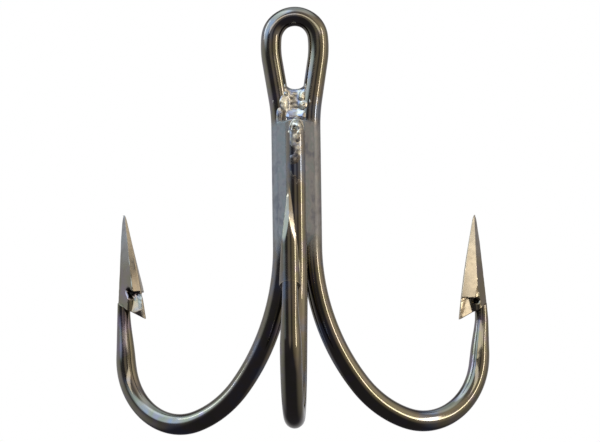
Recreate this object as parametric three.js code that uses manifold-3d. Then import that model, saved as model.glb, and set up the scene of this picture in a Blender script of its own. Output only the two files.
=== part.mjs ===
// A treble fishing hook: two bent and sharpened wires, brazed together along their shanks.
//
// The double hook is one wire. Its middle makes the eye, its two legs run down side by side as
// the shank, and each leg swings out to a barbed point. The single hook is a second wire that
// lies in the front groove between those legs and swings out to the front. Braze metal fills
// the grooves between the three shanks, closes the bottom of the eye and caps the cut end.
//
// Millimetres, +Z up. The origin is the centre of the eye's round top, where a split ring
// bears. The eye lies in the XZ plane and the single hook points along -Y.

import * as THREE from "three";
import { ConvexGeometry } from "three/addons/geometries/ConvexGeometry.js";
import { mergeVertices } from "three/addons/utils/BufferGeometryUtils.js";
import Module from "manifold-3d";

// ---- Driving dimensions ----------------------------------------------------------------

const WIRE_R = 1.2; // 2.4 mm hook wire
const WIRE_SIDES = 12;
const WIRE_STEP = 1.1; // spacing of the sections along a wire

const SHANK_X = 1.66; // half the distance between the double hook's two legs
const CONTACT = 0.04; // film of braze between wires that lie against each other
const SHANK_Y = Math.sqrt((2 * WIRE_R + CONTACT) ** 2 - SHANK_X ** 2); // single hook's shank, in front

const EYE_TOP_Z = 2.79; // wire's centre at the top of the eye
const EYE_CROWN = { radius: 2.72, turn: 84 };
const EYE_SIDE = { radius: 11, turn: 15 };
const EYE_NECK = { radius: 22, turn: 9 }; // turns the converging legs parallel again

const SPLIT_Z = -24; // where the three arms leave the shank
const ARM_BENDS = [
  { radius: 24.2, turn: 42 },
  { radius: 13.3, turn: 31.5 },
  { radius: 7.85, turn: 109 },
];
const ARM_AZIMUTH = { right: 30, left: 150, front: -90 };

// The point, seen square to its arm: `out` is the distance from the arm's own shank line.
const TIP = { out: 22.4, z: -19.4 };
const TIP_OVERRUN = 1.5; // wire left past the tip, for the grinding to take off
const GRIND = { inner: -0.268, outer: 0.162, side: -0.06, halfWidth: 0.17 }; // per mm below the tip
const GRIND_LENGTH = 12;
// The barb's block: its corners, each with half the block's thickness there.
const BARB_TIP = { out: 19.6, z: -31.95, half: 0.18 };
const BARB_CREST = { out: 20.05, z: -29.3, half: 0.16 };
const BARB_TOP = { out: 21.3, z: -23.9, half: 0.1 };
const BARB_ROOT = { out: 21.9, z: -30.7, half: 1.0 };
const BARB_BACK = { out: 22.2, z: -30.0, half: 1.1 }; // inside the leg, as is the next
const BARB_SHOULDER = { out: 22.0, z: -25.5, half: 0.95 };
// The slit that the chisel leaves behind the barb: its upper end and its two lower corners.
const SLIT_TOP = { out: 22.1, z: -29.5 };
const SLIT_OUTER = { out: 21.95, z: -30.8 };
const SLIT_INNER = { out: 21.65, z: -30.85 };
const STEM_TOP = { out: 22.75, z: -30, r: 0.83 }; // the leg is dressed thin behind the barb
const STEM_FOOT = { out: 22.38, z: -38, r: 1.22 }; // and is full wire from here down
const STEM_FLATS = [-66, -22, 22, 66]; // degrees to either side of the shank direction

const BRAZE_GAP = 0.03; // keeps the braze clear of the wires it is cut to
const MENISCUS = 0.15; // how far the braze surface lies below the wires' common tangent
const FILLET_BOTTOM_Z = -24.9;
const SPINE_BACK_Y = 0.85;
const CUT_END_Z = -10.9; // the single hook's cut end
const NECK = { top: -5.1, front: -0.95, back: 0.9 };
const EYE_FOOT = { z: -5.0, radius: 0.75, length: 6 }; // the eye's round lower end, as a cutter
const CAP = { y: -1.55, z: -10.75, radii: [1.05, 1.15, 1.25] };
const CAP_ROOM = 6; // side of the boxes that trim the cap, more than its width
const ROUND_SIDES = 16;
const CAP_RINGS = 10;

const STEEL = { color: 0x4a4641, metalness: 0.95, roughness: 0.22 };
const BRAZE = { color: 0x6b6762, metalness: 0.9, roughness: 0.35 };

const DOWN = new THREE.Vector3(0, 0, -1);
const WELD = 1e-4; // vertices closer than this are one
const degrees = THREE.MathUtils.degToRad;

// ---- Solids ----------------------------------------------------------------------------

const wasm = await Module();
wasm.setup();

function solid(geometry) {
  const bare = geometry.clone();
  bare.deleteAttribute("normal");
  bare.deleteAttribute("uv");
  const merged = mergeVertices(bare, WELD);
  const count = merged.attributes.position.count;
  const triVerts = merged.index ? merged.index.array : [...Array(count).keys()];
  return new wasm.Manifold(
    new wasm.Mesh({
      numProp: 3,
      vertProperties: new Float32Array(merged.attributes.position.array),
      triVerts: new Uint32Array(triVerts),
    }),
  );
}

function geometryOf(manifold) {
  const mesh = manifold.getMesh();
  const geometry = new THREE.BufferGeometry();
  geometry.setAttribute("position", new THREE.BufferAttribute(mesh.vertProperties, 3));
  geometry.setIndex(new THREE.BufferAttribute(mesh.triVerts, 1));
  return geometry;
}

// ---- Bent wire -------------------------------------------------------------------------

// A centreline made as a wire former makes it: straight runs and bends, one after another.
class BentWire extends THREE.Curve {
  constructor(start, heading) {
    super();
    this.position = start.clone();
    this.heading = heading.clone().normalize();
    this.runs = [];
    this.total = 0;
  }

  add(length, pointAt) {
    this.runs.push({ from: this.total, length, pointAt });
    this.total += length;
  }

  straight(length) {
    const from = this.position.clone();
    const along = this.heading.clone();
    this.add(length, (s) => from.clone().addScaledVector(along, s));
    this.position = from.clone().addScaledVector(along, length);
    return this;
  }

  bend({ radius, turn }, axis) {
    const from = this.position.clone();
    const along = this.heading.clone();
    const toCentre = new THREE.Vector3().crossVectors(axis, along);
    const centre = from.clone().addScaledVector(toCentre, radius);
    const pointAt = (s) =>
      from.clone().sub(centre).applyAxisAngle(axis, s / radius).add(centre);
    this.add(radius * degrees(turn), pointAt);
    this.position = pointAt(radius * degrees(turn));
    this.heading.applyAxisAngle(axis, degrees(turn));
    return this;
  }

  getPoint(t) {
    const s = THREE.MathUtils.clamp(t, 0, 1) * this.total;
    const run = this.runs.find((r) => s <= r.from + r.length) ?? this.runs.at(-1);
    return run.pointAt(s - run.from);
  }

  getUtoTmapping(u) {
    return u; // t already runs evenly along the wire
  }
}

// A wire whose left half is the mirror image of its right half, which starts at its middle.
class MirroredWire extends THREE.Curve {
  constructor(half) {
    super();
    this.half = half;
    this.total = 2 * half.total;
  }

  getPoint(t) {
    const p = this.half.getPoint(Math.abs(2 * t - 1));
    return t < 0.5 ? p.setX(-p.x) : p;
  }

  getUtoTmapping(u) {
    return u;
  }
}

// Carries a wire from the shank out along one arm and up to just past its tip.
function swingOut(wire, azimuth) {
  const a = degrees(azimuth);
  const axis = new THREE.Vector3(Math.sin(a), -Math.cos(a), 0);
  ARM_BENDS.forEach((b) => wire.bend(b, axis));
  return wire.straight(TIP.z + TIP_OVERRUN - wire.position.z);
}

function doubleHookPath() {
  const outwards = new THREE.Vector3(0, 1, 0);
  const inwards = new THREE.Vector3(0, -1, 0);
  const half = new BentWire(new THREE.Vector3(0, 0, EYE_TOP_Z), new THREE.Vector3(1, 0, 0));
  half.bend(EYE_CROWN, outwards).bend(EYE_SIDE, outwards);
  const slope = degrees(EYE_NECK.turn);
  const neckShift = EYE_NECK.radius * (1 - Math.cos(slope));
  half.straight((half.position.x - neckShift - SHANK_X) / Math.sin(slope));
  half.bend(EYE_NECK, inwards);
  half.straight(half.position.z - SPLIT_Z);
  return new MirroredWire(swingOut(half, ARM_AZIMUTH.right));
}

function singleHookPath() {
  const wire = new BentWire(new THREE.Vector3(0, -SHANK_Y, CUT_END_Z), DOWN);
  return swingOut(wire.straight(CUT_END_Z - SPLIT_Z), ARM_AZIMUTH.front);
}

function sweep(path, radius) {
  const round = new THREE.Shape().absarc(0, 0, radius, 0, 2 * Math.PI);
  return solid(
    new THREE.ExtrudeGeometry(round, {
      curveSegments: WIRE_SIDES / 2,
      steps: Math.round(path.total / WIRE_STEP),
      extrudePath: path,
    }),
  );
}

// ---- Points and barbs ------------------------------------------------------------------

// Maps a place seen square to an arm (out from its shank line, height, across) to the part.
function armFrame(shankX, shankY, azimuth) {
  const a = degrees(azimuth);
  const out = new THREE.Vector3(Math.cos(a), Math.sin(a), 0);
  const across = new THREE.Vector3(-Math.sin(a), Math.cos(a), 0);
  return ({ out: o, z }, t = 0) =>
    new THREE.Vector3(shankX, shankY, z).addScaledVector(out, o).addScaledVector(across, t);
}

// A convex block from outline places, each taken to both sides of the arm's plane.
function block(at, corners) {
  const points = corners.flatMap(({ half, ...place }) => [at(place, half), at(place, -half)]);
  return solid(new ConvexGeometry(points));
}

// The kite-shaped grinding: four flats that meet at the tip. Each is one block of removed metal.
function grindings(at) {
  const below = (out, across) =>
    at({ out: TIP.out + out * GRIND_LENGTH, z: TIP.z - GRIND_LENGTH }, across * GRIND_LENGTH);
  const kite = [
    below(GRIND.outer, 0),
    below(GRIND.side, GRIND.halfWidth),
    below(GRIND.inner, 0),
    below(GRIND.side, -GRIND.halfWidth),
  ];
  const tip = at(TIP);
  const depth = 5;
  return kite.map((corner, i) => {
    const next = kite[(i + 1) % kite.length];
    const along = corner.clone().add(next).multiplyScalar(0.5).sub(tip).normalize();
    const sideways = next.clone().sub(corner);
    const outward = new THREE.Vector3().crossVectors(sideways, along).normalize();
    const middle = kite[0].clone().add(kite[2]).multiplyScalar(0.5);
    if (outward.dot(corner.clone().sub(middle)) < 0) outward.negate();
    sideways.crossVectors(along, outward);
    const box = new THREE.BoxGeometry(2 * depth, GRIND_LENGTH + depth, depth);
    const centre = tip
      .clone()
      .addScaledVector(outward, depth / 2)
      .addScaledVector(along, (GRIND_LENGTH - depth) / 2);
    box.applyMatrix4(new THREE.Matrix4().makeBasis(sideways, along, outward).setPosition(centre));
    return solid(box);
  });
}

function barb(at) {
  return block(at, [BARB_TOP, BARB_CREST, BARB_TIP, BARB_ROOT, BARB_BACK, BARB_SHOULDER]);
}

// Metal taken off one side of the leg below the barb, down to the dressed stem.
function stemFlat(at, lean) {
  const c = Math.cos(degrees(lean));
  const n = Math.sin(degrees(lean));
  const depth = 3;
  const corners = [STEM_TOP, STEM_FOOT].flatMap(({ out, z, r }) =>
    [r, r + depth].flatMap((d) =>
      [-depth, depth].map((w) => at({ out: out - c * d + n * w, z }, n * d + c * w)),
    ),
  );
  return solid(new ConvexGeometry(corners));
}

// What the chisel takes away: the dressed stem's flats, under the barb's slanted underside,
// and the thin slit it leaves behind the barb.
function chiselCuts(at) {
  const half = 4;
  const slope = (BARB_ROOT.z - BARB_TIP.z) / (BARB_ROOT.out - BARB_TIP.out);
  const underside = (out) => ({ out, z: BARB_TIP.z + slope * (out - BARB_TIP.out), half });
  const kept = block(at, [
    underside(BARB_TIP.out - half),
    underside(TIP.out + half),
    { out: BARB_TIP.out - half, z: TIP.z, half },
    { out: TIP.out + half, z: TIP.z, half },
  ]);
  const slit = block(
    at,
    [SLIT_TOP, SLIT_OUTER, SLIT_INNER].map((corner) => ({ ...corner, half })),
  );
  return [...STEM_FLATS.map((lean) => stemFlat(at, lean).subtract(kept)), slit];
}

function sharpen(wire, at) {
  let made = wire.add(barb(at));
  [...grindings(at), ...chiselCuts(at)].forEach((cutter) => {
    made = made.subtract(cutter);
  });
  return made;
}

// ---- Braze -----------------------------------------------------------------------------

// A prism on a plan outline, from one height to another.
function prism(outline, bottom, top) {
  const shape = new THREE.Shape(outline.map(([x, y]) => new THREE.Vector2(x, y)));
  const geometry = new THREE.ExtrudeGeometry(shape, { depth: top - bottom, bevelEnabled: false });
  return solid(geometry.translate(0, 0, bottom));
}

// The front groove between the single hook's shank and one leg of the double hook.
function filletBraze(side, wires) {
  const leg = new THREE.Vector2(side * SHANK_X, 0);
  const shank = new THREE.Vector2(0, -SHANK_Y);
  const normal = new THREE.Vector2(side * SHANK_Y, -SHANK_X).normalize();
  const face = normal.clone().multiplyScalar(WIRE_R - MENISCUS);
  const contact = leg.clone().add(shank).multiplyScalar(0.5);
  const corners = [leg.clone().add(face), shank.clone().add(face), contact];
  const outline = corners.map((c) => c.toArray());
  return prism(outline, FILLET_BOTTOM_Z, CUT_END_Z).subtract(wires);
}

// The channel enclosed by the three shanks, and the groove behind it.
function spineBraze(wires) {
  const outline = [
    [-SHANK_X, SPINE_BACK_Y],
    [-SHANK_X / 2, -SHANK_Y / 2],
    [SHANK_X / 2, -SHANK_Y / 2],
    [SHANK_X, SPINE_BACK_Y],
  ];
  return prism(outline, FILLET_BOTTOM_Z, CUT_END_Z).subtract(wires);
}

// The web that closes the bottom of the eye, with the eye's round lower end cut into it.
function neckBraze(wires) {
  const outline = [
    [-SHANK_X, NECK.back],
    [-SHANK_X, NECK.front],
    [SHANK_X, NECK.front],
    [SHANK_X, NECK.back],
  ];
  const { radius, length, z } = EYE_FOOT;
  const hole = new THREE.CylinderGeometry(radius, radius, length, ROUND_SIDES);
  hole.translate(0, 0, z);
  return prism(outline, CUT_END_Z + BRAZE_GAP, NECK.top).subtract(wires).subtract(solid(hole));
}

// The lump of braze that covers the single hook's cut end.
function endBraze(wires) {
  const lump = new THREE.SphereGeometry(1, ROUND_SIDES, CAP_RINGS);
  lump.scale(...CAP.radii).translate(0, CAP.y, CAP.z);
  const below = new THREE.BoxGeometry(CAP_ROOM, CAP_ROOM, CAP_ROOM);
  const behind = below.clone();
  below.translate(0, 0, CUT_END_Z + BRAZE_GAP - CAP_ROOM / 2);
  behind.translate(0, NECK.front - BRAZE_GAP + CAP_ROOM / 2, CUT_END_Z);
  return solid(lump).subtract(wires).subtract(solid(below)).subtract(solid(behind));
}

// ---- The assembly ----------------------------------------------------------------------

const doublePath = doubleHookPath();
const singlePath = singleHookPath();
const rightArm = armFrame(SHANK_X, 0, ARM_AZIMUTH.right);
const leftArm = armFrame(-SHANK_X, 0, ARM_AZIMUTH.left);
const frontArm = armFrame(0, -SHANK_Y, ARM_AZIMUTH.front);

const doubleWire = sharpen(sharpen(sweep(doublePath, WIRE_R), rightArm), leftArm);
const singleWire = sharpen(sweep(singlePath, WIRE_R), frontArm);
const wiresAndGap = sweep(doublePath, WIRE_R + BRAZE_GAP).add(
  sweep(singlePath, WIRE_R + BRAZE_GAP),
);

const treble = new THREE.Group();

function place(name, manifold, look) {
  const mesh = new THREE.Mesh(geometryOf(manifold), new THREE.MeshStandardMaterial(look));
  mesh.name = name;
  treble.add(mesh);
}

place("double_hook_wire", doubleWire, STEEL);
place("single_hook_wire", singleWire, STEEL);
place("neck_braze", neckBraze(wiresAndGap), BRAZE);
place("spine_braze", spineBraze(wiresAndGap), BRAZE);
place("left_fillet_braze", filletBraze(-1, wiresAndGap), BRAZE);
place("right_fillet_braze", filletBraze(1, wiresAndGap), BRAZE);
place("shank_end_braze", endBraze(wiresAndGap), BRAZE);

export default treble;
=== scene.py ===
import math

import bmesh
import bpy
import numpy as np
from mathutils import Matrix, Vector


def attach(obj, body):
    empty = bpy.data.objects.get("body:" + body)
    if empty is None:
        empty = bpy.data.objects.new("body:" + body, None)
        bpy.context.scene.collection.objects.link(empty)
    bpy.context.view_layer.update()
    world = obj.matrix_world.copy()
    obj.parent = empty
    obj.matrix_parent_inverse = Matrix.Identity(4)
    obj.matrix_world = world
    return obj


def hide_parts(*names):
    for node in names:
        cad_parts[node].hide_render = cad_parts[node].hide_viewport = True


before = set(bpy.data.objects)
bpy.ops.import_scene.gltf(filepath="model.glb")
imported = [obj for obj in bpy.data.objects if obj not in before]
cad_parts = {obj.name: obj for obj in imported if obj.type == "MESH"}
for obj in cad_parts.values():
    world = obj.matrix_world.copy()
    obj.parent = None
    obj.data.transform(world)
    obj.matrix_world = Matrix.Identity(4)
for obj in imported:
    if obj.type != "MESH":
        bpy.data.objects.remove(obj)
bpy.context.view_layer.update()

# A treble fishing hook. Lengths in this script are millimetres until MM scales them.
MM = 0.001

# ---- The part's own dimensions, the same as the CAD model's --------------------------------

WIRE_R = 1.2
SHANK_X = 1.66
SHANK_Y = math.sqrt((2 * WIRE_R + 0.04) ** 2 - SHANK_X ** 2)
EYE_TOP_Z = 2.79
EYE_CROWN = (2.72, 84)      # radius, degrees turned
EYE_SIDE = (11.0, 15)
EYE_NECK = (22.0, 9)
SPLIT_Z = -24.0
CUT_END_Z = -10.9
ARM_AZIMUTH = 30.0          # of the right hook; the left one mirrors it
FRONT_AZIMUTH = -90.0
ARM_BENDS = ((24.2, 42), (13.3, 31.5), (7.85, 109))
POINT_FOOT_Z = -38.2        # the leg is plain bent wire below this height
TIP = (22.4, -19.4)         # out from the arm's own shank line, height
BARB_TIP = (19.55, -32.0)
BARB_ROOT = (21.9, -30.7)
LEAN = (BARB_ROOT[1] - BARB_TIP[1]) / (BARB_ROOT[0] - BARB_TIP[0])   # slope of the underside

# How the wires are pressed and dressed, beyond the CAD model.
EYE_PRESS = 0.055           # share by which the crown of the eye is flattened
BEND_PRESS = (0.035, -0.045)    # the same in the arms' bends: in their plane, across it
PRESSED_HALF = 1.14         # half width of the blank where the barb is raised
STEM_TOP_R = 0.80           # the stem is dressed thin under the barb
STEM_SET = 0.86             # its centre there, out from the barb's root

SIDES = 128                 # points round a wire
CROWD = 0.72                # how much closer together they are on a point's inner side
EYE_STEP = (0.12, 0.2)      # spacing of the rings round the eye and down its neck
ARM_STEP = 0.22
SHANK_STEP = 0.35


def smooth_max(a, b, k):
    h = np.clip(0.5 + 0.5 * (a - b) / k, 0, 1)
    return b + (a - b) * h + k * h * (1 - h)


def smooth_min(a, b, k):
    return -smooth_max(-a, -b, k)


def ramp(x, lo, hi):
    t = np.clip((x - lo) / (hi - lo), 0, 1)
    return t * t * (3 - 2 * t)


def wave_noise(p, scale, seed, octaves=3):
    """Smooth noise in about -1..1 from sums of sines in seeded directions. p is (n, 3)."""
    r = np.random.default_rng(seed)
    total = np.zeros(len(p))
    weight = 0.0
    for o in range(octaves):
        f = 2 ** o
        for _ in range(5):
            d = r.normal(size=3)
            d /= np.linalg.norm(d)
            total += np.sin(p @ d * (2 * math.pi * f / scale) + r.uniform(0, 6.28)) / f
            weight += 0.5 / f
    return total / weight


# ---- Centrelines ----------------------------------------------------------------------------

def bend_chain(x, z, heading, bends, step):
    """Points of a chain of runs in one plane: (sideways, up, heading), heading in radians.
    A run is (radius, degrees): a positive turn is to the left. Radius None is a straight run
    whose second number is its length."""
    pts = [(x, z, heading)]
    for radius, turn in bends:
        if radius is None:
            n = max(2, round(turn / step))
            for i in range(1, n + 1):
                d = turn * i / n
                pts.append((x + d * math.cos(heading), z + d * math.sin(heading), heading))
            x, z, _ = pts[-1]
            continue
        sign = 1 if turn > 0 else -1
        sweep = math.radians(turn)
        n = max(2, round(radius * abs(sweep) / step))
        cx, cz = x - sign * radius * math.sin(heading), z + sign * radius * math.cos(heading)
        for i in range(1, n + 1):
            t = heading + sweep * i / n
            pts.append((cx + sign * radius * math.sin(t), cz - sign * radius * math.cos(t), t))
        x, z, heading = pts[-1]
    return np.array(pts)


def eye_half():
    """Right half of the eye and neck, from the crown down to the straight shank, as (x, z)."""
    slope = math.radians(EYE_NECK[1])
    crown = bend_chain(0, EYE_TOP_Z, 0.0, ((EYE_CROWN[0], -EYE_CROWN[1]),
                                           (EYE_SIDE[0], -EYE_SIDE[1])), EYE_STEP[0])
    x, z, heading = crown[-1]
    shift = EYE_NECK[0] * (1 - math.cos(slope))
    run = (x - shift - SHANK_X) / math.sin(slope)
    neck = bend_chain(x, z, heading, ((None, run), EYE_NECK), EYE_STEP[1])
    return np.vstack([crown, neck[1:]])


EYE = eye_half()
ARM = bend_chain(0, SPLIT_Z, -math.pi / 2, ARM_BENDS, ARM_STEP)
LEG_SLOPE = math.tan(ARM[-1][2] - math.pi / 2)    # sideways per mm up, towards the shank


def leg_out(z):
    """Centre of the point leg at a height: it follows the bend, then runs straight."""
    up = ARM[np.argmin(ARM[:, 1]):]
    bent = np.interp(z, up[:, 1], up[:, 0])
    straight = ARM[-1][0] - LEG_SLOPE * (z - ARM[-1][1])
    return np.where(z < ARM[-1][1], bent, straight)


def leg_lean(z):
    """Sideways run per mm of height of the point leg's centreline."""
    return (leg_out(z + 0.05) - leg_out(z - 0.05)) / 0.1


def wire_gap(out, z, across):
    """Distance from the point leg's surface, below zero inside the wire."""
    sideways = (out - leg_out(z)) / np.sqrt(1 + leg_lean(z) ** 2)
    return np.hypot(sideways, across) - WIRE_R


# ---- The ground and barbed point ------------------------------------------------------------

def line_gap(out, across, a, b):
    """Signed distance of (out, |across|) from the line a-b, positive on its left."""
    dx, dy = b[0] - a[0], b[1] - a[1]
    n = np.hypot(dx, dy)
    return ((out - a[0]) * -dy + (across - a[1]) * dx) / n


INNER_SLOPE = 0.29          # how fast the cutting edge runs inward below the tip
OUTER_SLOPE = 0.150         # how fast the outer edge runs outward
RIDGE_RISE = 0.133          # growth of the point's half thickness along its ridge
EDGE_HALF = 0.02            # half thickness of the cutting edges
TIP_BLUNT = 0.11            # how much fuller the point is just below the tip
BARB_HALF = 0.15            # half thickness of the barb's inner edge
BARB_DROP = 2.4             # height over which the chisel's cut runs out
INNER_CURVE = (INNER_SLOPE - (TIP[0] - BARB_TIP[0]) / (TIP[1] - BARB_TIP[1])) \
    / (TIP[1] - BARB_TIP[1])


def pocket(out, z, across, hand):
    """How far inside the chisel's pocket a place is, 0 to 1, at the inner end of the ledge."""
    p_out, p_z, length, width, _ = hand["pocket"]
    along = (z - p_z) * 0.85 + (out - p_out) * 0.53
    cross = (out - p_out) * 0.85 - (z - p_z) * 0.53
    inside = np.exp(-np.abs(along / length) ** 3 - np.abs(cross / width) ** 3)
    return inside * ramp(np.abs(across), 0.2, 0.45)


def ridge_out(z, hand):
    """Where the ridge between the two ground facets of one side runs."""
    return TIP[0] + hand["ridge"] * (TIP[1] - z)


def ground_gap(out, z, across, hand):
    """(signed distance of the ground facets, out of the inner cutting edge)."""
    d = np.maximum(TIP[1] - z, 0) + 1e-6    # how far below the tip
    blunt = TIP_BLUNT * (1 - np.exp(-d / 0.35)) * np.exp(-d / 3.0)
    inner = TIP[0] - INNER_SLOPE * d + INNER_CURVE * d ** 2 - blunt
    crest = (inner, EDGE_HALF + 0.1 * ramp(d, 0, 8) + 0.4 * blunt)
    ridge = (ridge_out(z, hand), 0.01 + RIDGE_RISE * d + blunt)
    back = (TIP[0] + OUTER_SLOPE * d + blunt, EDGE_HALF + 0.5 * blunt)
    side = np.abs(across)
    face_in = line_gap(out, side, crest, ridge)
    face_out = line_gap(out, side, ridge, back)
    return smooth_max(smooth_max(face_in, face_out, 0.05), inner - out, 0.03), inner


def point_shape(out, z, across, hand):
    """Below zero inside the metal above the barb's underside."""
    side = np.abs(across)
    ground, inner = ground_gap(out, z, across, hand)
    # the blank is pressed wide on its inner side, where the barb is raised
    blade = np.maximum(side - PRESSED_HALF, out - leg_out(z))
    # below the ledge the chisel cut the barb's flank back from the ground facet
    root = (leg_out(z) + 0.15, PRESSED_HALF - 0.01)
    drop = hand["ledge"] - z - hand["slant"] * (out - 21.0)
    cut = hand["set_back"] * (1 - np.clip(drop / BARB_DROP, 0, 1)) * ramp(out - inner, 0.0, 0.5)
    uncut = 3.0 * (1 - ramp(drop, -0.05, 0.09))
    flank = line_gap(out, side, (inner, BARB_HALF), root) + cut - uncut
    wedge = smooth_max(blade, flank, 0.04)
    made = smooth_max(smooth_min(wire_gap(out, z, across), wedge, 0.05), ground, 0.03)
    return made + hand["pocket"][4] * pocket(out, z, across, hand)


def stem_shape(out, z, across):
    """Below zero inside the dressed stem under the barb."""
    t = ramp(z, POINT_FOOT_Z, -31.0)
    centre = leg_out(z) * (1 - t) + (BARB_ROOT[0] + STEM_SET) * t
    r = WIRE_R + 0.03 - (WIRE_R - STEM_TOP_R) * t
    lean = leg_lean(z)
    stem = np.hypot((out - centre) / np.sqrt(1 + lean ** 2), across) - r
    return smooth_max(stem, wire_gap(out, z, across), 0.04)


RAY_REACH = 4.5             # longer than any ray inside the metal
HALVINGS = 26


def ray_lengths(shape, centre_out, centre_z, cos_a, sin_a, lean):
    """How far each ray of each slanted ring runs before it leaves the shape."""
    lo = np.zeros((len(centre_out), len(cos_a)))
    hi = np.full_like(lo, RAY_REACH)
    for _ in range(HALVINGS):
        mid = (lo + hi) / 2
        out = centre_out[:, None] - mid * cos_a
        z = centre_z[:, None] - mid * cos_a * lean[:, None]
        inside = shape(out, z, mid * sin_a) < 0
        lo = np.where(inside, mid, lo)
        hi = np.where(inside, hi, mid)
    return lo


def ring_angles(crowd=0.0):
    """Angles of a ring's vertices, crowded towards angle 0 if asked."""
    u = np.arange(SIDES) / SIDES
    return 2 * math.pi * u - crowd * np.sin(2 * math.pi * u)


def point_rings(hand):
    """Rings of (out, z, across) up the leg to the tip, with how far each vertex is ground and
    how far soot and painted shade darken it in the chisel's pocket."""
    a = ring_angles(CROWD)
    cos_a, sin_a = np.cos(a), np.sin(a)
    zs = np.concatenate([
        np.arange(POINT_FOOT_Z, -32.2, 0.10),
        np.arange(-32.2, TIP[1] - 0.5, 0.055),
        TIP[1] - 0.5 * (1 - np.linspace(0, 0.97, 14)),
    ])
    # the ring's centre stays inside the metal all the way up
    stem_mix = ramp(zs, -36, -31) * (1 - ramp(zs, -30.4, -27.5))
    tip_mix = ramp(zs, -30.4, -21.5)
    base = leg_out(zs)
    spine = TIP[0] + 0.03 * (TIP[1] - zs)
    centre = base + 0.55 * stem_mix
    centre = centre * (1 - tip_mix) + spine * tip_mix
    foot_lean = -leg_lean(np.array(POINT_FOOT_Z))
    lean = foot_lean + (LEAN - foot_lean) * ramp(zs, POINT_FOOT_Z, -33.0)
    step_z = BARB_ROOT[1] + LEAN * (np.interp(-30.2, zs, centre) - BARB_ROOT[0])
    below = zs < step_z

    stem = ray_lengths(stem_shape, centre, zs, cos_a, sin_a, lean)
    full = ray_lengths(lambda o, z, q: point_shape(o, z, q, hand),
                       centre, zs, cos_a, sin_a, lean)
    rows = []
    masks = []
    soot_and_shade_rows = []

    def add(c, z, l, rho, mask):
        out = c - rho * cos_a
        up = z - rho * cos_a * l
        rows.append(np.stack([out, up, rho * sin_a], 1))
        masks.append(mask)
        # how dark the chisel's pocket is painted: soot and painted shade of the hollow
        soot_and_shade_rows.append(ramp(pocket(out, up, rho * sin_a, hand), 0.12, 0.5))

    k = int(np.argmax(~below))
    for i in np.nonzero(below)[0]:
        add(centre[i], zs[i], lean[i], stem[i], np.zeros(SIDES))
    # the barb's underside, a slanted face from the stem to the wedge, with a small round edge
    c, l = centre[k], lean[k]
    small = np.minimum(stem[k], full[k] - 0.004)
    for lift, share in ((0.0, 0.0), (0.0, 0.3), (0.0, 0.6), (0.0, 0.85), (0.004, 0.96),
                        (0.02, 0.992), (0.05, 1.0)):
        rho = small + (full[k] - small) * share
        add(c, step_z + lift, l, rho, np.full(SIDES, 0.6))
    for i in range(k + 1, len(zs)):
        out = centre[i] - full[i] * cos_a
        z = zs[i] - full[i] * cos_a * lean[i]
        off_wire = ramp(np.abs(wire_gap(out, z, full[i] * sin_a)), 0.004, 0.03)
        on_facet = ramp(ground_gap(out, z, full[i] * sin_a, hand)[0], -0.08, -0.04)
        inner_side = ramp(ridge_out(z, hand) - out, -0.03, 0.08)
        add(centre[i], zs[i], lean[i], full[i],
            np.maximum(off_wire, on_facet) * (0.15 + 0.85 * inner_side))
    return np.array(rows), np.array(masks), np.array(soot_and_shade_rows)


# ---- Wire meshes ----------------------------------------------------------------------------

def arm_basis(azimuth):
    a = math.radians(azimuth)
    return np.array([math.cos(a), math.sin(a), 0]), np.array([-math.sin(a), math.cos(a), 0])


UP = np.array([0.0, 0.0, 1.0])


def forged(s):
    """(in-plane, across) radius along an arm: pressed a little flat through the bend."""
    press = ramp(s, 2, 12) * (1 - ramp(s, 24, 36))
    return tuple(WIRE_R * (1 + share * press) for share in BEND_PRESS)


def arm_rows(origin, azimuth, hand):
    """Vertex rings of one arm from the split down, round and up to the tip, then their ground
    masks, their soot and painted shade, and the tip itself."""
    out_dir, across_dir = arm_basis(azimuth)
    rows, masks = [], []
    stop = np.nonzero(ARM[:, 1] < POINT_FOOT_Z)[0][-1]
    travelled = 0.0
    for i in range(stop + 1):
        o, z, t = ARM[i]
        if i:
            travelled += math.hypot(o - ARM[i - 1][0], z - ARM[i - 1][1])
        inward = -math.sin(t) * out_dir + math.cos(t) * UP
        r_in, r_ac = forged(travelled)
        a = ring_angles(CROWD * ramp(travelled, 22, 35))
        centre = origin + o * out_dir + z * UP
        rows.append(centre + np.outer(r_in * np.cos(a), inward)
                    + np.outer(r_ac * np.sin(a), across_dir))
        masks.append(np.zeros(SIDES))
    rings, ground, dark = point_rings(hand)
    stations = (POINT_FOOT_Z + 1.2, BARB_TIP[1], TIP[1])
    shift_out, shift_up = (np.interp(rings[:, :, 1], stations, (0, *hand[key]))
                           for key in ("out_shift", "up_shift"))
    rings[:, :, 0] += shift_out
    rings[:, :, 1] += shift_up
    for ring, mask in zip(rings, ground):
        rows.append(origin + np.outer(ring[:, 0], out_dir) + np.outer(ring[:, 1], UP)
                    + np.outer(ring[:, 2], across_dir))
        masks.append(mask)
    tip = origin + (TIP[0] + hand["out_shift"][1]) * out_dir + (TIP[1] + hand["up_shift"][1]) * UP
    soot_and_shade = [np.zeros(SIDES)] * (stop + 1) + list(dark)
    return rows, masks, soot_and_shade, tip


def straight_rows(x, y, z_from, z_to, turn_from, turn_to):
    """Rings down a straight shank; the ring's start direction turns from one azimuth to another."""
    a = ring_angles()
    n = max(2, round(abs(z_from - z_to) / SHANK_STEP))
    rows = []
    for i in range(1, n):
        t = i / n
        az = math.radians(turn_from + (turn_to - turn_from) * ramp(t, 0, 1))
        inward = np.array([math.cos(az), math.sin(az), 0])
        across = np.array([-math.sin(az), math.cos(az), 0])
        centre = np.array([x, y, z_from + (z_to - z_from) * t])
        rows.append(centre + WIRE_R * (np.outer(np.cos(a), inward) + np.outer(np.sin(a), across)))
    return rows


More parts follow.
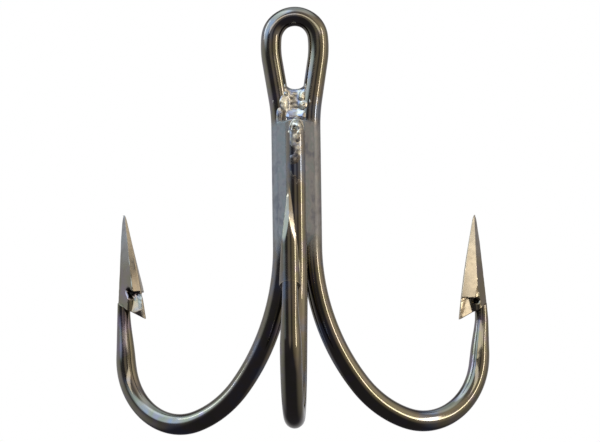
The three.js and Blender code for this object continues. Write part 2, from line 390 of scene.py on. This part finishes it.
def eye_rows():
    """Rings from just after the crown down to the start of the straight shank, right half."""
    a = ring_angles()
    rows = []
    for x, z, t in EYE[1:]:
        inward = np.array([math.sin(t), 0, -math.cos(t)])      # towards the hole at the crown
        press = 1 - ramp(abs(x), 1.2, 2.6) if z > 0 else 0.0
        r_in = WIRE_R * (1 - EYE_PRESS * press)
        centre = np.array([x, 0, z])
        # the ring starts on the outer side, so that it turns into the arm's inner side below
        rows.append(centre + np.outer(-r_in * np.cos(a), inward)
                    + np.outer(-WIRE_R * np.sin(a), np.array([0.0, -1.0, 0.0])))
    return rows


def grid_mesh(name, rows, masks, soot_and_shade_rows, tips):
    """A closed tube of rings, ended by a tip at one or both ends."""
    verts = np.vstack(rows)
    n = len(rows)
    faces = []
    for i in range(n - 1):
        for j in range(SIDES):
            k = (j + 1) % SIDES
            faces.append((i * SIDES + j, i * SIDES + k, (i + 1) * SIDES + k, (i + 1) * SIDES + j))
    extra = []
    for ring, point in tips:
        index = len(verts) + len(extra)
        extra.append(point)
        base = (n - 1) * SIDES if ring else 0
        for j in range(SIDES):
            k = (j + 1) % SIDES
            faces.append((base + j, base + k, index))
    verts = np.vstack([verts, np.array(extra)])
    mesh = bpy.data.meshes.new(name)
    mesh.from_pydata((verts * MM).tolist(), [], faces)
    ground = np.concatenate([np.concatenate(masks), np.full(len(extra), masks[-1].max())])
    soot_and_shade = np.concatenate([np.concatenate(soot_and_shade_rows), np.zeros(len(extra))])
    return finish_mesh(name, mesh, {"ground": ground, "soot_and_shade": soot_and_shade})


def finish_mesh(name, mesh, attributes, sharp=26):
    """Turn the faces outward, store the vertex attributes and link the mesh as an object."""
    bm = bmesh.new()
    bm.from_mesh(mesh)
    bmesh.ops.recalc_face_normals(bm, faces=bm.faces)
    bm.to_mesh(mesh)
    bm.free()
    for key, values in attributes.items():
        layer = mesh.attributes.new(key, "FLOAT", "POINT")
        layer.data.foreach_set("value", np.asarray(values, np.float32))
    mesh.polygons.foreach_set("use_smooth", [True] * len(mesh.polygons))
    mesh.set_sharp_from_angle(angle=math.radians(sharp))
    obj = bpy.data.objects.new(name, mesh)
    bpy.context.scene.collection.objects.link(obj)
    return obj


# Each point is ground and barbed on its own, so no two are quite alike. The shifts are at the
# barb and at the tip. The pocket is its place (out, height), half its length and width, and
# its depth.
HANDS = {
    "right": {"out_shift": (0.14, -0.35), "up_shift": (-0.38, -0.38), "ridge": -0.085,
              "ledge": -29.35, "slant": 0.10, "set_back": 0.34,
              "pocket": (21.55, -29.75, 0.22, 0.28, 0.40)},
    "left": {"out_shift": (0.0, 0.05), "up_shift": (0.30, 0.30), "ridge": -0.20,
             "ledge": -28.9, "slant": 0.45, "set_back": 0.32,
             "pocket": (21.20, -28.85, 0.58, 0.36, 0.55)},
    "front": {"out_shift": (0.0, 0.0), "up_shift": (0.0, 0.0), "ridge": 0.07,
              "ledge": -29.3, "slant": 0.25, "set_back": 0.30,
              "pocket": (21.5, -29.5, 0.30, 0.30, 0.40)},
}


def double_wire():
    origin = np.array([SHANK_X, 0.0, 0.0])
    half = eye_rows()
    half += straight_rows(SHANK_X, 0.0, EYE[-1][1], SPLIT_Z, 0.0, ARM_AZIMUTH)
    halves = []
    for side, name in ((1, "right"), (-1, "left")):
        arm, mask, soot_and_shade, tip = arm_rows(origin, ARM_AZIMUTH, HANDS[name])
        rows = half + arm
        plain = [np.zeros(SIDES)] * len(half)
        flip = np.array([side, 1.0, 1.0])
        halves.append(([r * flip for r in rows], plain + mask, plain + soot_and_shade, tip * flip))
    a = ring_angles()
    crown = np.array([0.0, 0.0, EYE_TOP_Z]) \
        + np.outer(WIRE_R * (1 - EYE_PRESS) * np.cos(a), UP) \
        + np.outer(WIRE_R * np.sin(a), np.array([0.0, 1.0, 0.0]))
    (right, r_mask, r_soot_and_shade, r_tip), (left, l_mask, l_soot_and_shade, l_tip) = halves
    rows = left[::-1] + [crown] + right
    masks = l_mask[::-1] + [np.zeros(SIDES)] + r_mask
    soot_and_shade_rows = l_soot_and_shade[::-1] + [np.zeros(SIDES)] + r_soot_and_shade
    return grid_mesh("double_hook", rows, masks, soot_and_shade_rows, [(0, l_tip), (1, r_tip)])


CUT_END_EDGE = ((0.55, 0.0), (0.1, 0.0), (0.03, 0.03), (0.0, 0.1))    # in from the side, down


def single_wire():
    origin = np.array([0.0, -SHANK_Y, 0.0])
    arm, mask, soot_and_shade, tip = arm_rows(origin, FRONT_AZIMUTH, HANDS["front"])
    shank = straight_rows(0.0, -SHANK_Y, CUT_END_Z, SPLIT_Z, FRONT_AZIMUTH, FRONT_AZIMUTH)
    a = ring_angles()
    top = []
    for inset, drop in CUT_END_EDGE:
        r = WIRE_R - inset
        top.append(np.array([0, -SHANK_Y, CUT_END_Z - drop])
                   + r * (np.outer(np.cos(a), [0, -1, 0]) + np.outer(np.sin(a), [1, 0, 0])))
    rows = top + shank + arm
    plain = [np.zeros(SIDES)] * (len(top) + len(shank))
    return grid_mesh("single_hook", rows, plain + mask, plain + soot_and_shade,
                     [(0, np.array([0, -SHANK_Y, CUT_END_Z])), (1, tip)])


# ---- Braze ----------------------------------------------------------------------------------

def leg_x(z):
    """Centre of the double hook's leg at a height in the neck, shank and start of the arms."""
    down = EYE[np.argmax(EYE[:, 0]):]
    upper = np.interp(z, down[::-1, 1], down[::-1, 0])
    start = ARM[:40][::-1]
    arm_z = start[:, 1]
    arm_x = SHANK_X + start[:, 0] * math.cos(math.radians(ARM_AZIMUTH))
    return np.where(z > SPLIT_Z, upper, np.interp(z, arm_z, arm_x))


def gauss(x, z, cx, cz, sx, sz, power=2):
    """A soft hill of height 1; a higher power gives it a flatter top."""
    return np.exp(-(np.abs((x - cx) / sx) ** power + np.abs((z - cz) / sz) ** power))


EYE_FOOT = (0.78, -4.98)    # radius and centre height of the hole's round lower end
BRAZE_FOOT_Z = -25.6
BRAZE_GRID = (116, 460)     # columns, rows

# Lumps left by the flame: (x, z, half width, half height, rise).
WEB_LUMPS = (
    (-1.22, -7.60, 0.42, 0.90, 0.34),
    (-1.05, -6.45, 0.18, 0.18, 0.30),
    (0.70, -6.80, 0.26, 0.50, 0.30),
    (0.93, -7.80, 0.40, 0.40, 0.52),
    (1.02, -7.78, 0.11, 0.11, -0.22),
)
END_LUMPS = (
    (-0.20, -10.15, 0.30, 0.26, 0.22),
    (0.40, -10.35, 0.30, 0.34, 0.30),
    (0.05, -10.85, 0.26, 0.22, -0.24),
    (0.45, -11.15, 0.26, 0.26, 0.20),
    (0.05, -11.60, 0.34, 0.30, 0.16),
    (0.55, -12.20, 0.24, 0.34, 0.22),
    (0.25, -12.95, 0.26, 0.26, 0.14),
    (0.50, -13.60, 0.20, 0.30, 0.12),
)


def raised(x, z, lumps):
    """Total rise of a set of soft lumps."""
    return sum(rise * gauss(x, z, cx, cz, sx, sz, 2.5) for cx, cz, sx, sz, rise in lumps)


def satin_flats(x, z, p, leg):
    """The two flats between the single hook and the legs, with a tongue at their foot."""
    nx = SHANK_Y / math.hypot(SHANK_X, SHANK_Y)
    ny = SHANK_X / math.hypot(SHANK_X, SHANK_Y)
    sag = 0.035 + 0.05 * np.clip(1 - ((np.abs(x) - 1.7) / 0.85) ** 2, 0, 1)
    tongue = 1.3 * ramp(-z, 22.4 - 0.3 * np.sign(x), -BRAZE_FOOT_Z) ** 1.5
    head = 3.0 * ramp(z, -9.9, -8.8)
    level = WIRE_R - sag - tongue - head + 0.010 * wave_noise(p, 2.4, 3, 2)
    plane = (nx * leg + level - nx * np.abs(x)) / ny
    return np.minimum(plane, 2.2)


def neck_web(x, z, p, leg):
    """The web that closes the eye: a dish between the legs, a shelf at its foot, and lumps."""
    web = 0.62 + 0.45 * (x / 1.5) ** 2 + 0.04 * wave_noise(p, 1.1, 5, 2)
    web = web + 0.46 * ramp(-z, 8.0, 9.1) * (1 - ramp(np.abs(x - 0.05), 0.7, 1.5))
    web = web + raised(x, z, WEB_LUMPS)
    # it dips under the legs' surfaces at its sides, further in towards the hole
    side = leg - 0.15 - 0.85 * ramp(z, -7.6, -5.5)
    web = web - 0.75 * ramp(np.abs(x), side, side + 0.5) - 1.2 * ramp(-z, 9.15, 10.2)
    # a tongue of braze that ran down the left leg
    surface = np.sqrt(np.clip(WIRE_R ** 2 - (np.abs(x) - leg) ** 2, 0, None))
    film = surface - 0.05 + 0.12 * gauss(x, z, -1.95 + 0.12 * (z + 9), -9.2, 0.46, 1.2, 3)
    return smooth_max(web, np.where(x < -1.2, film, 0.0), 0.05)


def end_lump(x, z, p):
    """The lump over the single hook's cut end."""
    r2 = ((x - 0.15) / 0.88) ** 2 + ((z + 11.1) / 1.6) ** 2
    lump = SHANK_Y + 0.15 + 0.95 * np.sqrt(np.clip(1 - r2, 0, 1)) - 2.5 * np.clip(r2 - 1, 0, 2)
    return lump + raised(x, z, END_LUMPS) + 0.03 * wave_noise(p, 0.9, 11, 2)


def crest_skin(x, z, p):
    """A thin uneven skin that ran down the single hook's crest."""
    wire = SHANK_Y + np.sqrt(np.clip(WIRE_R ** 2 - x ** 2, 0, None))
    film = 0.006 + 0.020 * wave_noise(p, 1.5, 13, 2) - 0.04 * ramp(-z, 13.5, 21.0)
    return np.where(z < CUT_END_Z, wire + film - 1.2 * ramp(np.abs(x), 0.6, 1.0), 0.0)


def front_height(x, z):
    """How far the braze's front surface stands forward of the double hook's plane."""
    leg = leg_x(z)
    p = np.stack([x, 0 * x, z], 1)
    height = smooth_max(satin_flats(x, z, p, leg), neck_web(x, z, p, leg), 0.16)
    height = smooth_max(height, end_lump(x, z, p), 0.22)
    return smooth_max(height, crest_skin(x, z, p), 0.04)


def back_height(x, z):
    """How far its back surface stands behind that plane."""
    p = np.stack([x, 0 * x, z], 1)
    seam = 0.72 + 0.36 * (x / leg_x(z)) ** 2 + 0.03 * wave_noise(p, 1.3, 17)
    seam = seam + 0.22 * gauss(x, z, 0.2, -8.2, 0.7, 1.6)
    return seam - 1.0 * ramp(-z, 23.2, -BRAZE_FOOT_Z)


def braze_piece():
    """One closed skin round the braze: a front and a back surface over the same grid."""
    nx, nz = BRAZE_GRID
    hole_r, hole_z = EYE_FOOT
    u = np.linspace(-1, 1, nx)
    v = np.linspace(0, 1, nz)
    fronts, backs = [], []
    for i in range(nx):
        x_top = u[i] * 1.55
        top = hole_z - math.sqrt(max(hole_r ** 2 - x_top ** 2, 0)) if abs(x_top) < hole_r \
            else hole_z + 0.25 * (abs(x_top) - hole_r)
        z = top + (BRAZE_FOOT_Z - top) * (0.35 * v ** 2 + 0.65 * v)
        x = u[i] * (leg_x(z) + 0.93)
        x = np.where(z > -7.5, x * (1 - 0.3 * ramp(z, -7.5, -5.0)), x)
        d = np.clip((top - z) / 0.75, 0, 1)
        lip = np.sqrt(1 - (1 - d) ** 2)
        rim = np.sqrt(np.clip(1 - np.abs(u[i]) ** 14, 0, 1))
        fronts.append(np.stack([x, -front_height(x, z) * lip * rim, z], 1))
        backs.append(np.stack([x, back_height(x, z) * lip * rim, z], 1))
    front = np.array(fronts)
    back = np.array(backs)
    verts = np.vstack([front.reshape(-1, 3), back.reshape(-1, 3)])
    offset = nx * nz
    faces = []
    for i in range(nx - 1):
        for j in range(nz - 1):
            a, b, c, d = i * nz + j, (i + 1) * nz + j, (i + 1) * nz + j + 1, i * nz + j + 1
            faces.append((a, b, c, d))
            faces.append((offset + d, offset + c, offset + b, offset + a))
    border = [i * nz for i in range(nx)]
    border += [(nx - 1) * nz + j for j in range(1, nz)]
    border += [i * nz + nz - 1 for i in range(nx - 2, -1, -1)]
    border += [j for j in range(nz - 2, 0, -1)]
    for p, q in zip(border, border[1:] + border[:1]):
        faces.append((p, q, q + offset, p + offset))
    mesh = bpy.data.meshes.new("braze")
    mesh.from_pydata((verts * MM).tolist(), [], faces)
    x, y, z = verts.T
    neck = 1 - ramp(-z, 9.2, 9.9)
    crest = ramp(-y - 0.25 * x, 2.55, 2.8)
    end = (1 - ramp(np.abs(x - 0.12), 0.72, 0.95)) * (1 - ramp(-z, 13.0, 14.5)) * ramp(-y, 0.5, 1)
    # where the lumps stand up, for their painted highlight
    painted_glint = np.where(y < 0, raised(x, z, WEB_LUMPS) + 1.6 * raised(x, z, END_LUMPS), 0)
    # the run down the crest, which the braze's material paints darker: painted shade
    run = crest * (1 - end) * (1 - neck)
    return finish_mesh("braze", mesh, {"bright": np.maximum.reduce([neck, crest, end]),
                                       "run": run, "painted_glint": ramp(painted_glint, 0.03, 0.24)}, sharp=60)


# ---- Materials ------------------------------------------------------------------------------

class Nodes:
    """A short way to write a material's nodes."""

    def __init__(self, name):
        self.mat = bpy.data.materials.new(name)
        self.mat.use_nodes = True
        self.tree = self.mat.node_tree
        self.shader = self.tree.nodes["Principled BSDF"]

    def node(self, kind, inputs=None, **settings):
        n = self.tree.nodes.new(kind)
        for key, value in settings.items():
            setattr(n, key, value)
        for key, value in (inputs or {}).items():
            self.put(n.inputs[key], value)
        return n

    def put(self, socket, value):
        if isinstance(value, bpy.types.NodeSocket):
            self.tree.links.new(value, socket)
        else:
            socket.default_value = value

    def place(self):
        return self.node("ShaderNodeTexCoord").outputs["Object"]

    def noise(self, scale, detail, vector=None):
        return self.node("ShaderNodeTexNoise", {
            "Vector": vector or self.place(), "Scale": scale, "Detail": detail,
            "Roughness": 0.55}).outputs["Fac"]

    def product(self, a, b):
        return self.node("ShaderNodeMath", {0: a, 1: b}, operation="MULTIPLY").outputs[0]

    def stretch(self, scale):
        return self.node("ShaderNodeMapping", {
            "Vector": self.place(), "Scale": scale}).outputs["Vector"]

    def bands(self, value, stops):
        n = self.node("ShaderNodeValToRGB", {"Fac": value})
        elements = n.color_ramp.elements
        while len(elements) < len(stops):
            elements.new(0.5)
        for element, (at, colour) in zip(elements, stops):
            element.position = at
            element.color = (*colour, 1)
        return n.outputs["Color"]

    def span(self, value, lo, hi, to_lo, to_hi):
        return self.node("ShaderNodeMapRange", {
            "Value": value, "From Min": lo, "From Max": hi,
            "To Min": to_lo, "To Max": to_hi}).outputs["Result"]

    def mix(self, factor, a, b):
        n = self.node("ShaderNodeMix", data_type="RGBA")
        self.put(n.inputs["Factor"], factor)
        self.put(n.inputs["A"], a)
        self.put(n.inputs["B"], b)
        return n.outputs["Result"]

    def mix_value(self, factor, a, b):
        n = self.node("ShaderNodeMix", data_type="FLOAT")
        self.put(n.inputs["Factor"], factor)
        self.put(n.inputs["A"], a)
        self.put(n.inputs["B"], b)
        return n.outputs["Result"]

    def attribute(self, name):
        return self.node("ShaderNodeAttribute", attribute_name=name).outputs["Fac"]

    def bump(self, height, strength, distance, normal=None):
        inputs = {"Height": height, "Strength": strength, "Distance": distance}
        if normal is not None:
            inputs["Normal"] = normal
        return self.node("ShaderNodeBump", inputs).outputs["Normal"]


# The satin film on the shank: its lower and upper fades and, to either side, its inner edge, m.
FILM_LOW = (-0.0262, -0.0225)
FILM_HIGH = (-0.0104, -0.0093)
FILM_SIDE = (0.0009, 0.0014)
SATIN_ROUGH = (0.46, 0.58)
# near black for the chisel's pocket: soot and painted shade of the hollow
WORN = (0.26, 0.24, 0.21, 1)
SOOT_AND_SHADE = (0.012, 0.010, 0.008, 1)


def black_nickel():
    m = Nodes("black_nickel_wire")
    drift = m.noise(240, 3)
    tint = m.bands(drift, [(0.32, (0.170, 0.190, 0.235)), (0.45, (0.215, 0.188, 0.150)),
                           (0.56, (0.190, 0.178, 0.122)), (0.68, (0.205, 0.172, 0.200))])
    # satin film where the brazing heat and flux dulled the shank
    height = m.node("ShaderNodeSeparateXYZ", {"Vector": m.place()}).outputs
    low = m.span(height["Z"], *FILM_LOW, 0.0, 1.0)
    high = m.span(height["Z"], *FILM_HIGH, 1.0, 0.0)
    aside = m.span(m.node("ShaderNodeMath", {0: height["X"]}, operation="ABSOLUTE").outputs[0],
                   *FILM_SIDE, 0.0, 1.0)
    film = m.product(m.product(low, high), aside)
    film = m.product(film, m.span(m.noise(700, 4), 0.25, 0.6, 0.75, 1.0))
    tint = m.mix(film, tint, m.bands(m.noise(520, 4), [(0.36, (0.138, 0.135, 0.141)),
                                                       (0.50, (0.232, 0.218, 0.209)),
                                                       (0.68, (0.187, 0.198, 0.191))]))
    # the ground facets are brighter metal with fine grinding lines
    ground = m.attribute("ground")
    facet = m.bands(m.noise(500, 3, m.stretch((1.0, 1.0, 0.25))),
                    [(0.3, (0.40, 0.335, 0.235)), (0.5, (0.47, 0.40, 0.29)),
                     (0.7, (0.42, 0.38, 0.31))])
    tint = m.mix(ground, tint, facet)
    wear = m.span(m.noise(2600, 5), 0.62, 0.72, 0.0, 0.30)
    tint = m.mix(wear, tint, WORN)
    # the chisel's pocket is darkened near black: soot and painted shade
    tint = m.mix(m.attribute("soot_and_shade"), tint, SOOT_AND_SHADE)
    m.put(m.shader.inputs["Base Color"], tint)
    m.put(m.shader.inputs["Metallic"], m.mix_value(film, 1.0, 0.6))
    smudge = m.span(m.noise(420, 4), 0.3, 0.7, 0.07, 0.15)
    rough = m.mix_value(film, smudge, m.span(m.noise(1500, 4), 0.3, 0.7, *SATIN_ROUGH))
    rough = m.mix_value(ground, rough, m.span(m.noise(1400, 3), 0.3, 0.7, 0.16, 0.27))
    m.put(m.shader.inputs["Roughness"], rough)
    skin = m.bump(m.noise(420, 1), 0.10, 0.00006)
    lines = m.product(m.noise(1400, 2, m.stretch((2.5, 2.5, 0.3))), ground)
    m.put(m.shader.inputs["Normal"], m.bump(lines, 0.06, 0.00002, skin))
    return m.mat


# a dark colour for the run of braze down the crest: painted shade
CREST_SHADE_TINT = (0.19, 0.165, 0.135, 1)


def braze_metal():
    m = Nodes("plated_braze")
    mottle = m.noise(560, 5)
    satin = m.bands(mottle, [(0.36, (0.140, 0.137, 0.146)), (0.47, (0.222, 0.209, 0.197)),
                             (0.56, (0.180, 0.195, 0.181)), (0.68, (0.258, 0.233, 0.233))])
    shiny = m.bands(m.noise(800, 3), [(0.34, (0.28, 0.30, 0.38)), (0.48, (0.46, 0.415, 0.31)),
                                      (0.62, (0.34, 0.36, 0.44))])
    bright = m.attribute("bright")
    # the run of braze down the single hook's crest is rougher, and its colour is darkened: painted
    # shade
    run = m.attribute("run")
    shiny = m.mix(run, shiny, CREST_SHADE_TINT)
    # the flame's lumps get a pale cream colour: a painted highlight
    painted_glint = m.product(m.attribute("painted_glint"), m.span(m.noise(1300, 3), 0.3, 0.6, 0.45, 1.0))
    glint_tint = m.bands(m.noise(1100, 3), [(0.35, (0.62, 0.55, 0.38)), (0.55, (0.78, 0.74, 0.60)),
                                       (0.7, (0.66, 0.55, 0.40))])
    m.put(m.shader.inputs["Base Color"], m.mix(painted_glint, m.mix(bright, satin, shiny), glint_tint))
    m.put(m.shader.inputs["Metallic"],
          m.mix_value(painted_glint, m.mix_value(bright, 0.62, 1.0), 0.75))
    rough = m.mix_value(bright, m.span(m.noise(1500, 4), 0.3, 0.7, *SATIN_ROUGH),
                        m.span(m.noise(900, 3), 0.3, 0.7, 0.20, 0.34))
    m.put(m.shader.inputs["Roughness"], m.mix_value(painted_glint, rough, 0.34))
    broad = m.bump(m.noise(900, 4), m.span(run, 0.0, 1.0, 0.30, 0.75), 0.00008)
    m.put(m.shader.inputs["Normal"], m.bump(m.noise(4200, 3), 0.22, 0.00002, broad))
    return m.mat


def pale_floor():
    m = Nodes("pale_floor")
    shade = m.noise(14, 3)
    m.put(m.shader.inputs["Base Color"],
          m.bands(shade, [(0.3, (0.84, 0.84, 0.84)), (0.7, (0.87, 0.87, 0.865))]))
    m.shader.inputs["Roughness"].default_value = 0.85
    return m.mat


# ---- Pieces ---------------------------------------------------------------------------------

NICKEL = black_nickel()
BRAZE = braze_metal()

double_hook = double_wire()
single_hook = single_wire()
braze = braze_piece()

for piece, mat, slot, nodes in (
        (double_hook, NICKEL, "plated_wire", ["double_hook_wire"]),
        (single_hook, NICKEL, "plated_wire", ["single_hook_wire"]),
        (braze, BRAZE, "plated_braze", ["neck_braze", "spine_braze", "left_fillet_braze",
                                        "right_fillet_braze", "shank_end_braze"])):
    piece.data.materials.append(mat)
    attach(piece, "root")
    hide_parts(*nodes)

# ---- Stage ----------------------------------------------------------------------------------

FLOOR_Z = -0.095
FLOOR_HALF = 30.0

floor_mesh = bpy.data.meshes.new("floor")
floor_mesh.from_pydata([(-FLOOR_HALF, -FLOOR_HALF, 0), (FLOOR_HALF, -FLOOR_HALF, 0),
                        (FLOOR_HALF, FLOOR_HALF, 0), (-FLOOR_HALF, FLOOR_HALF, 0)],
                       [], [(0, 1, 2, 3)])
floor_mesh.materials.append(pale_floor())
floor = bpy.data.objects.new("floor", floor_mesh)
bpy.context.scene.collection.objects.link(floor)
floor.location.z = FLOOR_Z
floor.visible_glossy = False

CENTRE = Vector((0.0, 0.0, -0.0212))    # what the lamps face, about the hook's middle
LAMP_DISTANCE = 1.3


def toward(azimuth, elevation):
    """Direction from the hook, in degrees. Azimuth 0 is where the single hook points, 90 is to
    its right as the camera sees it."""
    az, el = math.radians(azimuth), math.radians(elevation)
    return Vector((math.sin(az) * math.cos(el), -math.cos(az) * math.cos(el), math.sin(el)))


def softbox(name, azimuth, elevation, width, height, watts, colour):
    """A soft area light that faces the hook."""
    light = bpy.data.lights.new(name, "AREA")
    light.shape = "RECTANGLE"
    light.size, light.size_y = width, height
    light.energy = watts
    light.color = colour
    obj = bpy.data.objects.new(name, light)
    direction = toward(azimuth, elevation)
    obj.location = CENTRE + direction * LAMP_DISTANCE
    obj.rotation_euler = direction.to_track_quat("Z", "Y").to_euler()
    bpy.context.scene.collection.objects.link(obj)


softbox("lamp_right", 61, 13, 0.12, 0.70, 2.3, (1.0, 0.94, 0.83))
softbox("lamp_front", 2, 22, 1.60, 0.27, 3.0, (1.0, 0.96, 0.89))
softbox("lamp_left", -86, 29, 0.08, 0.75, 1.3, (0.78, 0.88, 1.0))

# What the plating mirrors: a cool window and a pale wall on the left, a warm room on the
# right, white paper behind, a cool sky above with a dim ceiling before it, a faint glow in
# front, and a dark room between them. The camera itself sees plain white.
# Each lobe is (azimuth, elevation, half angle, soft edge, strength, colour), in degrees.
LOBES = (
    (-62, 44, 33, 7, 2.5, (0.58, 0.77, 1.0)),
    (-108, 3, 31, 21, 0.68, (0.88, 0.92, 1.0)),
    (76, 44, 34, 12, 0.36, (1.0, 0.90, 0.82)),
    (60, 14, 34, 14, 0.46, (1.0, 0.84, 0.58)),
    (105, -2, 36, 24, 0.42, (1.0, 0.92, 0.80)),
    (180, 10, 28, 22, 0.45, (1.0, 1.0, 1.0)),
    (0, 90, 32, 10, 1.2, (0.66, 0.82, 1.0)),
    (4, 56, 26, 12, 0.30, (1.0, 0.93, 0.85)),
    (-5, 9, 10, 8, 0.34, (1.0, 0.90, 0.76)),
)
ROOM_DARK = (0.074, 0.071, 0.094)
HORIZON = (-0.30, 0.04)     # the room gets darker below this band of heights
TABLE_LEVEL = 0.78          # how much of its light is left there

world = bpy.data.worlds.new("studio")
bpy.context.scene.world = world
world.use_nodes = True
wt = world.node_tree
for n in list(wt.nodes):
    wt.nodes.remove(n)
view_line = wt.nodes.new("ShaderNodeTexCoord").outputs["Generated"]
total = None
for azimuth, elevation, half, soft, strength, colour in LOBES:
    dot = wt.nodes.new("ShaderNodeVectorMath")
    dot.operation = "DOT_PRODUCT"
    wt.links.new(view_line, dot.inputs[0])
    dot.inputs[1].default_value = toward(azimuth, elevation)
    lobe = wt.nodes.new("ShaderNodeMapRange")
    lobe.interpolation_type = "SMOOTHSTEP"
    wt.links.new(dot.outputs["Value"], lobe.inputs["Value"])
    lobe.inputs["From Min"].default_value = math.cos(math.radians(half + soft))
    lobe.inputs["From Max"].default_value = math.cos(math.radians(half - soft))
    lobe.inputs["To Max"].default_value = strength
    tinted = wt.nodes.new("ShaderNodeVectorMath")
    tinted.operation = "MULTIPLY_ADD"
    wt.links.new(lobe.outputs["Result"], tinted.inputs[0])
    tinted.inputs[1].default_value = colour
    if total is None:
        tinted.inputs[2].default_value = ROOM_DARK
    else:
        wt.links.new(total, tinted.inputs[2])
    total = tinted.outputs[0]
height = wt.nodes.new("ShaderNodeSeparateXYZ")
wt.links.new(view_line, height.inputs[0])
above_table = wt.nodes.new("ShaderNodeMapRange")
above_table.interpolation_type = "SMOOTHSTEP"
above_table.inputs["From Min"].default_value = HORIZON[0]
above_table.inputs["From Max"].default_value = HORIZON[1]
above_table.inputs["To Min"].default_value = TABLE_LEVEL
wt.links.new(height.outputs["Z"], above_table.inputs["Value"])
room = wt.nodes.new("ShaderNodeBackground")
wt.links.new(total, room.inputs["Color"])
wt.links.new(above_table.outputs["Result"], room.inputs["Strength"])
plain = wt.nodes.new("ShaderNodeBackground")
plain.inputs["Color"].default_value = (1, 1, 1, 1)
pick = wt.nodes.new("ShaderNodeMixShader")
wt.links.new(wt.nodes.new("ShaderNodeLightPath").outputs["Is Camera Ray"], pick.inputs[0])
wt.links.new(room.outputs[0], pick.inputs[1])
wt.links.new(plain.outputs[0], pick.inputs[2])
out = wt.nodes.new("ShaderNodeOutputWorld")
wt.links.new(pick.outputs[0], out.inputs["Surface"])

bpy.context.scene.view_settings.view_transform = "Standard"
bpy.context.scene.view_settings.look = "None"

# ---- Camera: slightly below the hook, turned 2 degrees round it and rolled under 1 degree ----

CAM_LENS = 180.0
CAM_DISTANCE = 0.348
CAM_AZIMUTH = math.radians(2.0)
CAM_ELEVATION = math.radians(-5.3)
CAM_ROLL = math.radians(-0.8)
CAM_AIM_X = 0.00033         # sideways from the hook's middle
CAM_SENSOR = 36.0

look = Vector((-math.sin(CAM_AZIMUTH) * math.cos(CAM_ELEVATION),
               math.cos(CAM_AZIMUTH) * math.cos(CAM_ELEVATION),
               -math.sin(CAM_ELEVATION)))
side = Vector((math.cos(CAM_AZIMUTH), math.sin(CAM_AZIMUTH), 0))
rise = side.cross(look)
right = math.cos(CAM_ROLL) * side + math.sin(CAM_ROLL) * rise
above = -math.sin(CAM_ROLL) * side + math.cos(CAM_ROLL) * rise
cam_data = bpy.data.cameras.new("camera")
cam_data.lens = CAM_LENS
cam_data.sensor_width = CAM_SENSOR
cam = bpy.data.objects.new("camera", cam_data)
bpy.context.scene.collection.objects.link(cam)
aim = CENTRE + side * CAM_AIM_X
spot = aim - look * CAM_DISTANCE
cam.matrix_world = Matrix((
    (right.x, above.x, -look.x, spot.x),
    (right.y, above.y, -look.y, spot.y),
    (right.z, above.z, -look.z, spot.z),
    (0, 0, 0, 1)))
bpy.context.scene.camera = cam
